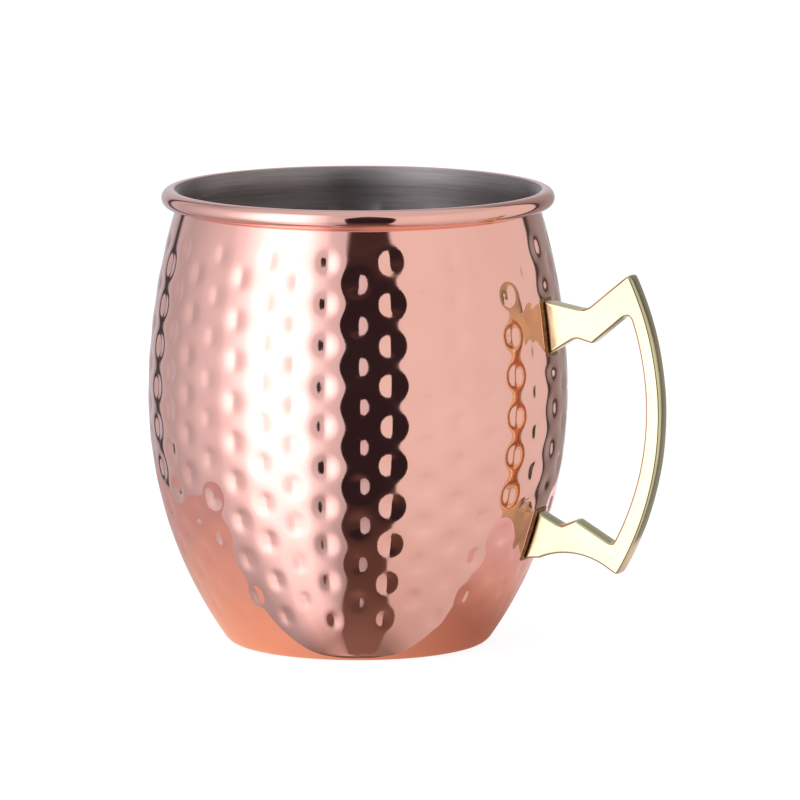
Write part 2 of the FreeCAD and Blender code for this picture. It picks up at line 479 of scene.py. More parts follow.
def revolve(name: str, profile: Profile, hammering: Hammering, sharp: float) -> Thing:
    """Turn a closed profile about the axis, and drive the hammer marks into its hammered rows.

    Args:
        name: Name of the piece.
        profile: Rows from the axis on the outer side, round the section, to the axis on the inner side.
        hammering: The pattern of marks, which sets the mesh columns too.
        sharp: Edges that turn more than this many degrees stay sharp.

    Returns:
        The new object.
    """
    rows = profile.array()
    angles = hammering.angles()
    radius, height = rows[:, 0:1], rows[:, 1:2]
    dent = np.zeros((len(rows), len(angles)))
    struck = rows[:, 4] > 0
    wall = np.array([hammering.shape.radius(z) for z in rows[struck, 1]])[:, None]
    dent[struck] = hammering.depth(angles[None, :], height[struck], wall) * rows[struck, 4:5]
    r = radius - rows[:, 2:3] * dent
    z = height - rows[:, 3:4] * dent
    grid = np.stack([r * np.cos(angles), r * np.sin(angles), z * np.ones_like(r)], axis=-1)
    count, around = len(rows), len(angles)
    first, last = count * around, count * around + 1
    poles = np.array([[0, 0, rows[0, 1]], [0, 0, rows[-1, 1]]])
    points = np.concatenate([grid.reshape(-1, 3), poles])
    faces: list[tuple[int, ...]] = []
    for i in range(count - 1):
        low, high = i * around, (i + 1) * around
        for j in range(around):
            k = (j + 1) % around
            faces.append((low + j, low + k, high + k, high + j))
    top = (count - 1) * around
    for j in range(around):
        k = (j + 1) % around
        faces.append((first, k, j))
        faces.append((last, top + j, top + k))
    return mesh_object(name, points, faces, sharp)


# ---------------------------------------------------------------- shader helpers


class Sketch:
    """A thin hand on one node tree, so that a finish reads as a short recipe."""

    def __init__(self, tree: bpy.types.NodeTree) -> None:
        """Start on an empty tree."""
        self.tree = tree
        tree.nodes.clear()

    def node(self, kind: str, **settings: object) -> bpy.types.Node:
        """Add a node and set its properties."""
        made = self.tree.nodes.new(kind)
        for name, value in settings.items():
            setattr(made, name, value)
        return made

    def feed(self, socket: Socket, value: object) -> None:
        """Link a socket to another, or set its constant."""
        if isinstance(value, Socket):
            self.tree.links.new(value, socket)
        else:
            socket.default_value = value

    def fill(self, node: bpy.types.Node, **values: object) -> bpy.types.Node:
        """Feed a node's inputs by their names, with _ for a space."""
        for name, value in values.items():
            self.feed(node.inputs[name.replace("_", " ")], value)
        return node

    def math(self, operation: str, *values: object, clamp: bool = False) -> Socket:
        """A Math node on up to three values."""
        made = self.node("ShaderNodeMath", operation=operation, use_clamp=clamp)
        for socket, value in zip(made.inputs, values):
            self.feed(socket, value)
        return made.outputs[0]

    def dot(self, vector: Socket, direction: Triple) -> Socket:
        """The dot product of a vector with a fixed direction.

        Args:
            vector: The vector.
            direction: The direction.

        Returns:
            The product.
        """
        made = self.node("ShaderNodeVectorMath", operation="DOT_PRODUCT")
        self.feed(made.inputs[0], vector)
        made.inputs[1].default_value = direction
        return made.outputs["Value"]

    def span(self, value: object, low: float, high: float, to_low: float = 0.0, to_high: float = 1.0,
             smooth: bool = False) -> Socket:
        """Map a value's range onto another, held at both ends."""
        made = self.node("ShaderNodeMapRange", interpolation_type="SMOOTHSTEP" if smooth else "LINEAR")
        for socket, number in zip(made.inputs, (value, low, high, to_low, to_high)):
            self.feed(socket, number)
        return made.outputs["Result"]

    def ramp(self, value: Socket, stops: Stops) -> Socket:
        """A colour ramp through the given stops.

        Args:
            value: What the ramp goes by.
            stops: Places from 0 to 1, each with its colour.

        Returns:
            The ramp's colour.
        """
        made = self.node("ShaderNodeValToRGB")
        band = made.color_ramp
        while len(band.elements) > 1:
            band.elements.remove(band.elements[-1])
        band.elements[0].position = stops[0][0]
        band.elements[0].color = (*stops[0][1], 1)
        for place, colour in stops[1:]:
            band.elements.new(place).color = (*colour, 1)
        self.feed(made.inputs[0], value)
        return made.outputs["Color"]

    def mix(self, share: object, a: object, b: object, blend: str = "MIX") -> Socket:
        """A colour mix of a and b.

        Args:
            share: Share of b, from 0 to 1.
            a: The first colour.
            b: The second colour.
            blend: How they are mixed.

        Returns:
            The mixed colour.
        """
        made = self.node("ShaderNodeMix", data_type="RGBA", blend_type=blend)
        self.feed(made.inputs[0], share)
        self.feed(made.inputs[6], a if isinstance(a, Socket) else (*a, 1))
        self.feed(made.inputs[7], b if isinstance(b, Socket) else (*b, 1))
        return made.outputs[2]

    def grain(self, vector: Socket, scale: float, detail: float = 3.0,
              roughness: float = 0.5) -> Socket:
        """A noise texture's value."""
        made = self.node("ShaderNodeTexNoise")
        self.fill(made, Vector=vector, Scale=scale, Detail=detail, Roughness=roughness)
        return made.outputs["Fac"]

    def bump(self, height: Socket, strength: float, distance: float) -> Socket:
        """A bump node's normal."""
        made = self.fill(self.node("ShaderNodeBump"), Strength=strength, Distance=distance, Height=height)
        return made.outputs["Normal"]

    def place(self) -> Socket:
        """Object coordinates, in metres."""
        return self.node("ShaderNodeTexCoord").outputs["Object"]

    def end(self, shader: bpy.types.Node, output: str = "ShaderNodeOutputMaterial") -> None:
        """Send a shader to the tree's output."""
        self.feed(self.node(output).inputs["Surface"], shader.outputs[0])


def new_material(name: str) -> tuple[Material, Sketch]:
    """An empty material, and the sketch that fills it."""
    made = bpy.data.materials.new(name)
    made.use_nodes = True
    return made, Sketch(made.node_tree)


@dataclass(frozen=True)
class MetalFinish:
    """A bare metal: two close colours that drift over the surface, a roughness range and fine marks."""

    name: str
    light: Triple
    dark: Triple
    smooth: float
    dull: float
    drift_scale: float
    mark_scale: float
    mark_depth: float
    mark_strength: float = 0.3
    stretch: float = 0.0
    stretch_turn: float = 0.0
    grained: float = 0.0

    def marks(self, sketch: Sketch, place: Socket) -> Socket:
        """The value that carries the fine marks."""
        return sketch.grain(place, self.mark_scale, 4.0, 0.6)

    def material(self) -> Material:
        """Make the material."""
        made, sketch = new_material(self.name)
        place = sketch.place()
        drift = sketch.grain(place, self.drift_scale, 3.0)
        marks = self.marks(sketch, place)
        shader = sketch.node("ShaderNodeBsdfPrincipled")
        sketch.fill(shader, Metallic=1.0, Anisotropic=self.stretch, Anisotropic_Rotation=self.stretch_turn)
        tint = sketch.mix(self.grained, drift, marks)
        tones = ((NOISE_LOW, self.dark), (NOISE_HIGH, self.light))
        wear = sketch.math("MULTIPLY_ADD", marks, 0.5, sketch.math("MULTIPLY", drift, 0.5))
        gloss = sketch.span(wear, NOISE_LOW, NOISE_HIGH, self.smooth, self.dull)
        relief = sketch.bump(marks, self.mark_strength, self.mark_depth)
        sketch.fill(shader, Base_Color=sketch.ramp(tint, tones), Roughness=gloss, Normal=relief)
        sketch.end(shader)
        return made


@dataclass(frozen=True)
class BrushedFinish(MetalFinish):
    """A metal brushed round the mug's axis, with fine lines that run round the bore and the floor."""

    line_pitch: float = 0.0005
    line_length: float = 2.5

    def marks(self, sketch: Sketch, place: Socket) -> Socket:
        """Fine lines round the axis: noise drawn out along them.

        Args:
            sketch: Sketch of the material.
            place: Object coordinates.

        Returns:
            The value that carries the lines.
        """
        parts = sketch.node("ShaderNodeSeparateXYZ")
        sketch.feed(parts.inputs[0], place)
        x, y, z = parts.outputs[0], parts.outputs[1], parts.outputs[2]
        turn = sketch.math("ARCTAN2", y, x)
        squares = sketch.math("ADD", sketch.math("MULTIPLY", x, x), sketch.math("MULTIPLY", y, y))
        reach = sketch.math("SQRT", squares)
        fine = 1 / self.line_pitch
        lines = sketch.node("ShaderNodeCombineXYZ")
        sketch.feed(lines.inputs[0], sketch.math("MULTIPLY", reach, fine))
        sketch.feed(lines.inputs[1], sketch.math("MULTIPLY", turn, self.line_length))
        sketch.feed(lines.inputs[2], sketch.math("MULTIPLY", z, fine))
        return sketch.grain(lines.outputs[0], 1.0, 4.0, 0.7)


COPPER = MetalFinish(
    name="polished_copper_finish",
    light=(0.96, 0.52, 0.435),
    dark=(0.935, 0.485, 0.40),
    smooth=0.045,
    dull=0.085,
    drift_scale=60.0,
    mark_scale=900.0,
    mark_depth=0.00002,
    mark_strength=0.12,
)
STEEL = BrushedFinish(
    name="brushed_steel_finish",
    light=(0.53, 0.45, 0.435),
    dark=(0.29, 0.24, 0.23),
    smooth=0.46,
    dull=0.58,
    drift_scale=45.0,
    mark_scale=1.0,
    mark_depth=0.00003,
    mark_strength=0.35,
    stretch=0.9,
    stretch_turn=0.25,
    grained=0.75,
)
BRASS = MetalFinish(
    name="polished_brass_finish",
    light=(0.86, 0.71, 0.41),
    dark=(0.58, 0.48, 0.30),
    smooth=0.12,
    dull=0.20,
    drift_scale=55.0,
    mark_scale=1400.0,
    mark_depth=0.00002,
    mark_strength=0.15,
)
BRAZE = MetalFinish(
    name="braze_finish",
    light=(0.42, 0.27, 0.13),
    dark=(0.20, 0.11, 0.05),
    smooth=0.4,
    dull=0.65,
    drift_scale=700.0,
    mark_scale=2500.0,
    mark_depth=0.00008,
    mark_strength=0.6,
)


# ---------------------------------------------------------------- pieces


def settle(piece: Thing, node: str, finish: MetalFinish) -> None:
    """Dress a piece, stand it for its CAD node and let it ride on the mug.

    Args:
        piece: The piece.
        node: Name of the CAD node that it replaces.
        finish: The finish that dresses it.
    """
    piece.data.materials.append(finish.material())
    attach(piece, ROOT)
    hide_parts(node)


@dataclass
class CopperShell:
    """The outer copper sheet, with its base and the hollow bead that is curled out of its top."""

    shape: BarrelShape
    hammering: Hammering
    step: float = 0.72
    hidden_step: float = 7.0
    lining_gap: float = 0.02
    bore_radius: float = 1.15
    slit_angle: float = -120.0
    slit_width: float = 0.2
    bead_step: float = 0.34
    bore_step: float = 0.8
    covered_step: float = 1.0
    back_step: float = 1.5
    least_gap: float = 0.05

    def profile(self) -> Profile:
        """The shell's closed section, from the axis under the base round to the axis on top of it."""
        shape, bead = self.shape, self.shape.bead_centre
        rows = Profile()
        shape.rise(rows, 0.0, self.step, 1.0)
        shape.neck(rows, 0.0, self.step, 1.0, heading(shape.upper_centre, shape.crease))
        half = math.degrees(self.slit_width / 2 / shape.bead_radius)
        bore_half = math.degrees(self.slit_width / 2 / self.bore_radius)
        crease = heading(bead, shape.crease)
        slit = self.slit_angle
        rows.arc(bead, shape.bead_radius, crease, slit - half, self.bead_step)
        rows.arc(bead, self.bore_radius, slit - bore_half, slit + bore_half - 360, self.bore_step)
        rows.arc(bead, shape.bead_radius, slit + half, shape.lip_angle, self.bead_step)
        depth = shape.wall - shape.copper
        hidden = shape.bead_radius - depth - self.lining_gap
        turn = heading(shape.flare_centre, bead)
        rows.arc(bead, hidden, shape.lip_angle, turn, self.covered_step)
        inset = shape.copper + self.lining_gap
        back = Profile()
        shape.face(back, inset, self.hidden_step, self.back_step)
        kept = [row for row in back.rows if math.dist(row[:2], bead) > hidden + self.least_gap]
        rows.rows.extend(reversed(kept))
        return rows

    def build(self) -> Thing:
        """Build, dress and place the shell."""
        piece = revolve("hammered_copper_shell", self.profile(), self.hammering, SHARP_SHEET)
        settle(piece, "copper_shell", COPPER)
        return piece


@dataclass
class SteelLining:
    """The steel shell inside the copper one, which laps over the inner side of the bead."""

    shape: BarrelShape
    hammering: Hammering
    step: float = 0.95
    hidden_step: float = 7.0
    copper_gap: float = 0.02
    show_through: float = 0.75
    lip_step: float = 0.3
    hidden_lip_step: float = 0.6

    def profile(self) -> Profile:
        """The lining's closed section, from the axis under its floor round to the axis on top of it."""
        shape = self.shape
        rows, seen = Profile(), Profile()
        shape.face(rows, shape.copper + self.copper_gap, self.hidden_step, self.hidden_lip_step)
        shape.face(seen, shape.wall, self.step, self.lip_step, self.show_through)
        rows.rows.extend(reversed(seen.rows))
        return rows

    def build(self) -> Thing:
        """Build, dress and place the lining."""
        piece = revolve("brushed_steel_lining", self.profile(), self.hammering, SHARP_SHEET)
        settle(piece, "steel_lining", STEEL)
        return piece


@dataclass(frozen=True)
class Corner:
    """A corner of the handle's outline, with the radius that rounds it off."""

    x: float
    z: float
    radius: float = 0.0

    @property
    def point(self) -> Pair:
        """The corner as a point."""
        return self.x, self.z


def three_point_arc(start: Pair, middle: Pair, end: Pair, step: float) -> list[Pair]:
    """Points along the circle through three points, from the first to the last.

    Args:
        start: Where the arc starts.
        middle: A point on the way.
        end: Where it ends.
        step: Longest distance between points, in millimetres.

    Returns:
        The points, both ends included.
    """
    ax, az = start
    bx, bz = middle
    cx, cz = end
    d = 2 * (ax * (bz - cz) + bx * (cz - az) + cx * (az - bz))
    ux = ((ax**2 + az**2) * (bz - cz) + (bx**2 + bz**2) * (cz - az) + (cx**2 + cz**2) * (az - bz)) / d
    uz = ((ax**2 + az**2) * (cx - bx) + (bx**2 + bz**2) * (ax - cx) + (cx**2 + cz**2) * (bx - ax)) / d
    centre = (ux, uz)
    radius = math.dist(centre, start)
    first = heading(centre, start)
    half = (heading(centre, middle) - first + 180) % 360 - 180
    rest = (heading(centre, end) - heading(centre, middle) + 180) % 360 - 180
    sweep = half + rest
    count = max(2, math.ceil(radius * math.radians(abs(sweep)) / step))
    return [on_circle(centre, radius, first + sweep * k / count) for k in range(count + 1)]


def straight(start: Pair, end: Pair, step: float) -> list[Pair]:
    """Points along a straight line."""
    count = max(1, math.ceil(math.dist(start, end) / step))
    return [
        (start[0] + (end[0] - start[0]) * k / count, start[1] + (end[1] - start[1]) * k / count)
        for k in range(count + 1)
    ]


@dataclass
class BrassHandle:
    """The handle: one flat brass casting with two feet, its edges rounded by polishing."""

    shape: BarrelShape
    thickness: float = 4.6
    edge: float = 0.5
    stand_off: float = 0.3
    step: float = 0.5
    face_grid: float = 1.1
    casting_wave: float = 0.045
    wave_length: float = 9.0
    wave_seed: int = 7
    upper_foot_top: Corner = Corner(40.0, 77.46)
    upper_valley: Corner = Corner(53.3, 75.1, 4.0)
    upper_tip: Corner = Corner(63.5, 83.6, 1.0)
    outer_bow: Pair = (70.75, 54.0)
    lower_tip: Corner = Corner(61.0, 18.0, 1.0)
    arm_start: Corner = Corner(58.5, 19.6, 0.6)
    arm_crest: Pair = (49.7, 22.2)
    arm_end: Corner = Corner(43.0, 20.8)
    lower_foot_bottom: Corner = Corner(35.0, 20.2)
    lower_foot_top: Corner = Corner(38.0, 33.4)
    lower_valley: Corner = Corner(47.9, 28.2, 0.8)
    lower_tooth: Corner = Corner(51.4, 29.7, 0.8)
    lower_inner: Corner = Corner(59.8, 24.8, 0.8)
    inner_bow: Pair = (67.3, 54.0)
    upper_inner: Corner = Corner(63.45, 75.05, 1.2)
    upper_tooth: Corner = Corner(55.1, 68.0, 0.7)
    upper_notch: Corner = Corner(51.2, 69.0, 1.5)
    upper_foot_bottom: Corner = Corner(42.0, 63.14)
    crown: float = 0.16
    face_lip: float = 0.2
    fold_share: float = 0.98
    mitre_floor: float = 0.6
    turn_step: float = 14.0
    least_gap: float = 0.06
    edge_turns: tuple[float, ...] = (90, 70, 50, 30, 14, 0)
    side_rows: tuple[float, ...] = (1.4, 0.7)

    def outer_chain(self) -> list[Pair]:
        """The outer side, from inside the wall at the lower foot up to the upper foot."""
        return self.chain([
            (self.lower_foot_bottom, None),
            (self.arm_end, self.arm_crest),
            (self.arm_start, None),
            (self.lower_tip, self.outer_bow),
            (self.upper_tip, None),
            (self.upper_valley, None),
            (self.upper_foot_top, None),
        ])

    def inner_chain(self) -> list[Pair]:
        """The finger side, from inside the wall at the upper foot down to the lower foot."""
        return self.chain([
            (self.upper_foot_bottom, None),
            (self.upper_notch, None),
            (self.upper_tooth, None),
            (self.upper_inner, self.inner_bow),
            (self.lower_inner, None),
            (self.lower_tooth, None),
            (self.lower_valley, None),
            (self.lower_foot_top, None),
        ])

    def chain(self, corners: Sequence[tuple[Corner, Pair | None]]) -> list[Pair]:
        """Join corners by straight runs or arcs, and round the corners off.

        Args:
            corners: Each corner with the point its next run bows through, or None for a straight run.

        Returns:
            Points along the chain.
        """
        runs: list[list[Pair]] = []
        for (here, bow), (there, _) in zip(corners, corners[1:]):
            if bow is None:
                runs.append(straight(here.point, there.point, self.step / 4))
            else:
                runs.append(three_point_arc(here.point, bow, there.point, self.step / 4))
        points = [runs[0][0]]
        for index, (corner, _) in enumerate(corners[1:-1]):
            before, after = runs[index], runs[index + 1]
            turn = abs((heading(after[0], after[1]) - heading(before[-2], before[-1]) + 180) % 360 - 180)
            cut = corner.radius * math.tan(math.radians(turn) / 2)
            before = [p for p in before if math.dist(p, corner.point) > cut + TINY]
            runs[index + 1] = [p for p in after if math.dist(p, corner.point) > cut + TINY]
            points.extend(before)
            if cut < TINY:
                points.append(corner.point)
            else:
                points.extend(self.rounded(before[-1], corner.point, runs[index + 1][0]))
        points.extend(runs[-1])
        return points

    def rounded(self, start: Pair, corner: Pair, end: Pair) -> list[Pair]:
        """Points that round off a corner between two points on its sides.

        Args:
            start: The point before the corner.
            corner: The corner.
            end: The point after it.

        Returns:
            The points between the two.
        """
        count = max(4, math.ceil(math.dist(start, end) / self.step * 2))
        made = []
        for k in range(1, count):
            t = k / count
            made.append(tuple(
                (1 - t) ** 2 * a + 2 * t * (1 - t) * b + t**2 * c for a, b, c in zip(start, corner, end)
            ))
        return made

    def clipped(self, points: list[Pair]) -> list[Pair]:
        """The part of a chain that stands clear of the wall."""
        return [p for p in points if self.shape.clearance(*p) > self.stand_off]

    def outline(self) -> np.ndarray:
        """The whole outline, counter-clockwise, evenly spaced."""
        outer, inner = self.clipped(self.outer_chain()), self.clipped(self.inner_chain())
        points = outer + self.along_wall(outer[-1][1], inner[0][1])
        points += inner + self.along_wall(inner[-1][1], outer[0][1])
        return self.spaced(np.array(points))

    def along_wall(self, start: float, end: float) -> list[Pair]:
        """Points at the stand-off from the wall, between two heights."""
        count = max(2, math.ceil(abs(end - start) / self.step * 4))
        heights = [start + (end - start) * k / count for k in range(1, count)]
        return [(self.shape.radius(z, self.stand_off), z) for z in heights]

    def spaced(self, points: np.ndarray) -> np.ndarray:
        """Thin a dense closed line out to the handle's step, closer where it turns.

        Args:
            points: Dense points of a closed line.

        Returns:
            The kept points.
        """
        kept = [points[0]]
        since, turned = 0.0, 0.0
        count = len(points)
        for k in range(1, count):
            gap = math.dist(points[k], points[k - 1])
            before = heading(points[k - 1], points[k])
            after = heading(points[k], points[(k + 1) % count])
            since += gap
            turned += abs((after - before + 180) % 360 - 180)
            if since >= self.step or (turned > self.turn_step and since > self.least_gap):
                kept.append(points[k])
                since, turned = 0.0, 0.0
        if math.dist(kept[-1], kept[0]) < self.step / 3:
            kept.pop()
        return np.array(kept)

    def inset(self, outline: np.ndarray, amount: float) -> np.ndarray:
        """The outline moved in by an amount, with mitred corners and no folds where a corner is tight.

        Args:
            outline: Points of a closed line, counter-clockwise.
            amount: How far to move it in, in millimetres.

        Returns:
            As many points, those that would fold over spread between the nearest ones that don't.
        """
        after = np.roll(outline, -1, axis=0) - outline
        before = outline - np.roll(outline, 1, axis=0)
        after /= np.linalg.norm(after, axis=1)[:, None]
        before /= np.linalg.norm(before, axis=1)[:, None]
        out_after = np.stack([after[:, 1], -after[:, 0]], axis=1)
        out_before = np.stack([before[:, 1], -before[:, 0]], axis=1)
        both = out_after + out_before
        share = 1 + np.sum(out_after * out_before, axis=1)
        moved = outline - both / np.maximum(share, self.mitre_floor)[:, None] * amount
        clear = self.reach(outline, moved) > amount * self.fold_share - 1e-9
        index = np.arange(len(outline))
        return np.stack([
            np.interp(index, index[clear], moved[clear, axis], period=len(outline)) for axis in (0, 1)
        ], axis=1)

    def reach(self, outline: np.ndarray, points: np.ndarray) -> np.ndarray:
        """Distance of each point from the nearest side of a closed outline.

        Args:
            outline: Points of the closed line.
            points: The points to measure.

        Returns:
            The distances.
        """
        side = np.roll(outline, -1, axis=0) - outline
        away = points[:, None, :] - outline[None, :, :]
        along = np.sum(away * side, axis=2) / np.sum(side * side, axis=1)
        return np.linalg.norm(away - side * np.clip(along, 0, 1)[:, :, None], axis=2).min(axis=1)

    def face_points(self, ring: np.ndarray) -> np.ndarray:
        """Points spread over the flat face inside a ring.

        Args:
            ring: Points of the closed line round the face.

        Returns:
            The points, clear of the ring.
        """
        low, high = ring.min(axis=0), ring.max(axis=0)
        xs = np.arange(low[0], high[0], self.face_grid)
        zs = np.arange(low[1], high[1], self.face_grid * STAGGERED_ROWS)
        spread = np.array([(x + (k % 2) * self.face_grid / 2, z) for k, z in enumerate(zs) for x in xs])
        after = np.roll(ring, -1, axis=0)
        inside = np.zeros(len(spread), bool)
        for (ax, az), (bx, bz) in zip(ring, after):
            crosses = (az > spread[:, 1]) != (bz > spread[:, 1])
            if crosses.any():
                at = (bx - ax) * (spread[:, 1] - az) / (bz - az + 1e-12) + ax
                inside ^= crosses & (spread[:, 0] < at)
        gaps = np.linalg.norm(spread[:, None, :] - ring[None, :, :], axis=2).min(axis=1)
        return spread[inside & (gaps > self.face_grid * 0.5)]

    def rings(self) -> list[tuple[float, float]]:
        """Inset and y of each ring, from one flat face round the edge to the other."""
        half = self.thickness / 2
        side = [(self.edge + self.crown + self.face_lip, half)]
        for turn in map(math.radians, self.edge_turns):
            y = half - self.edge * (1 - math.sin(turn))
            side.append((self.edge * (1 - math.cos(turn)) + self.crowned(y), y))
        side += [(self.crowned(y), y) for y in self.side_rows]
        return [(inset, -y) for inset, y in side] + [(0.0, 0.0)] + side[::-1]

    def crowned(self, y: float) -> float:
        """How far the slightly rounded sides fall back at a distance from the handle's middle plane."""
        return self.crown * (2 * y / self.thickness) ** 2

    def build(self) -> Thing:
        """Build, dress and place the handle."""
        outline = self.outline()
        rings = self.rings()
        around = len(outline)
        points: list[Triple] = []
        for inset, y in rings:
            for x, z in self.inset(outline, inset):
                points.append((x, y, z))
        faces: list[tuple[int, ...]] = []
        for ring in range(len(rings) - 1):
            low, high = ring * around, (ring + 1) * around
            for i in range(around):
                j = (i + 1) % around
                faces.append((low + i, high + i, high + j, low + j))
        cap = self.inset(outline, rings[0][0])
        spread = self.face_points(cap)
        flat = [Vector(p) for p in np.concatenate([cap, spread])]
        made = geometry.delaunay_2d_cdt(flat, [], [list(range(around))], 1, 1e-7)
        placed, triangles, origins = made[0], made[2], made[3]
        half = self.thickness / 2
        for y, first_ring in ((-half, 0), (half, (len(rings) - 1) * around)):
            number: list[int] = []
            for place, origin in zip(placed, origins):
                known = [o for o in origin if o < around]
                if known:
                    number.append(first_ring + known[0])
                else:
                    number.append(len(points))
                    points.append((place[0], y, place[1]))
            for triangle in triangles:
                corners = [number[v] for v in triangle]
                faces.append(tuple(corners if y < 0 else corners[::-1]))
        piece = mesh_object("cast_brass_handle", self.wavy(np.array(points)), faces, SHARP_CASTING)
        settle(piece, "handle", BRASS)
        return piece

    def wavy(self, points: np.ndarray) -> np.ndarray:
        """Move the points a little, as hand polishing leaves a casting.

        Args:
            points: Points in millimetres.

        Returns:
            The moved points.
        """
        noise.seed_set(self.wave_seed)
        moved = []
        for x, y, z in points:
            at = Vector((x, y, z)) / self.wave_length
            sway = noise.noise_vector(at) * self.casting_wave
            moved.append((x + sway.x, y + sway.y, z + sway.z))
        return np.array(moved)


@dataclass(frozen=True)
class BrazeJoints:
    """The two brazed joints under the handle's feet, which keep their CAD shape."""

    nodes: tuple[str, ...] = ("upper_braze_joint", "lower_braze_joint")

    def dress(self) -> None:
        """Give both joints the dull look of filler metal."""
        finish = BRAZE.material()
        for name in self.nodes:
            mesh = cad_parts[name].data
            mesh.materials.clear()
            mesh.materials.append(finish)
            LOG.info("dressed %s", name)


# ---------------------------------------------------------------- studio


@dataclass(frozen=True)
class Camera:
    """The camera, set by its angle round the mug and the point it looks at."""

    azimuth: float = 22.3
    elevation: float = 8.35
    distance: float = 1800.0
    lens: float = 373.2
    sensor: float = 36.0
    aim_height: float = 49.0
    aim_right: float = 9.07
    aim_up: float = 3.55

    @property
    def right(self) -> Vector:
        """The direction to the right of the view."""
        a = math.radians(self.azimuth)
        return Vector((math.cos(a), math.sin(a), 0))

    @property
    def back(self) -> Vector:
        """The direction from the mug to the camera."""
        a, e = math.radians(self.azimuth), math.radians(self.elevation)
        return Vector((math.sin(a) * math.cos(e), -math.cos(a) * math.cos(e), math.sin(e)))

    @property
    def front(self) -> Vector:
        """The level direction from the mug towards the camera."""
        a = math.radians(self.azimuth)
        return Vector((math.sin(a), -math.cos(a), 0))

    def build(self) -> Thing:
        """Make the camera and hand it to the scene."""
        data = bpy.data.cameras.new("camera")
        data.lens = self.lens
        data.sensor_width = self.sensor
        data.clip_start, data.clip_end = 0.01, 100.0
        made = bpy.data.objects.new("camera", data)
        bpy.context.scene.collection.objects.link(made)
        up = self.back.cross(self.right)
        aim = Vector((0, 0, self.aim_height)) + self.right * self.aim_right + up * self.aim_up
        made.location = (aim + self.back * self.distance) * MM
        made.rotation_mode = "QUATERNION"
        made.rotation_quaternion = (-self.back).to_track_quat("-Z", "Y")
        bpy.context.scene.camera = made
        return made


